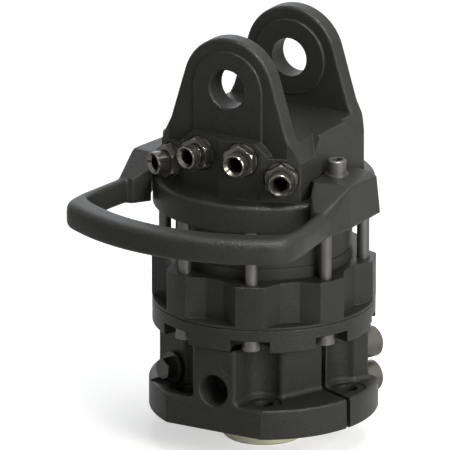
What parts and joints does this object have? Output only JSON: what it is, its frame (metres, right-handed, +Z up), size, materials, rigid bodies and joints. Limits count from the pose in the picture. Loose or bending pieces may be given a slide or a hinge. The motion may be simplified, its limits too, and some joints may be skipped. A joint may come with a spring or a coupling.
{
  "type": "hydraulic rotator",
  "caption": "Hydraulic rotator with clevis head, hose guard and port adapters above a bolted stack, and a grapple flange that turns without end below.",
  "frame": {"origin": "centre of the grapple flange's underside, on the turning axis", "axes": "+Z up along the turning axis towards the clevis pin; the clevis pin runs along Y; the hoses and the guard face -Y"},
  "size_m": [0.248, 0.3187, 0.417],
  "materials": {
    "cast_black": "satin black coat on a cast surface",
    "plated_adapter": "bright zinc-nickel plate",
    "zinc_fastener": "warm grey zinc plate",
    "bright_screw": "bright satin zinc",
    "plug_steel": "dull plated steel",
    "shaft_steel": "turned steel, pale",
    "bearing_steel": "ground steel",
    "bronze": "machined bronze",
    "seal_rubber": "black nitrile"
  },
  "bodies": {
    "stator": {"head_casting": "cast_black", "hose_guard": "cast_black", "guard_screws": "zinc_fastener", "guard_washers": "zinc_fastener", "adapter_outer_left": "plated_adapter", "adapter_inner_left": "plated_adapter", "adapter_inner_right": "plated_adapter", "adapter_outer_right": "plated_adapter", "adapter_seals": "zinc_fastener", "cam_ring": "cast_black", "lower_port_plate": "cast_black", "bearing_housing": "cast_black", "lower_ring": "cast_black", "long_bolts": "zinc_fastener", "face_gaskets": "seal_rubber", "shaft_seal": "seal_rubber", "lower_bush": "bronze", "upper_bush": "bronze", "lower_race": "bearing_steel", "rotary_seals": "seal_rubber"},
    "rotor": {"rotor_flange": "cast_black", "shaft": "shaft_steel", "clamp_screws": "bright_screw", "port_plug": "plug_steel", "plug_seal": "seal_rubber", "upper_race": "bearing_steel", "thrust_rollers": "bearing_steel", "roller_cage": "bronze", "vane_rotor": "bearing_steel", "vanes": "bearing_steel", "drive_keys": "bearing_steel"}
  },
  "joints": [
    {"name": "rotor_spin", "type": "hinge", "parent": "stator", "child": "rotor", "pos_m": [0, 0, 0], "axis": [0, 0, 1], "continuous": true}
  ]
}
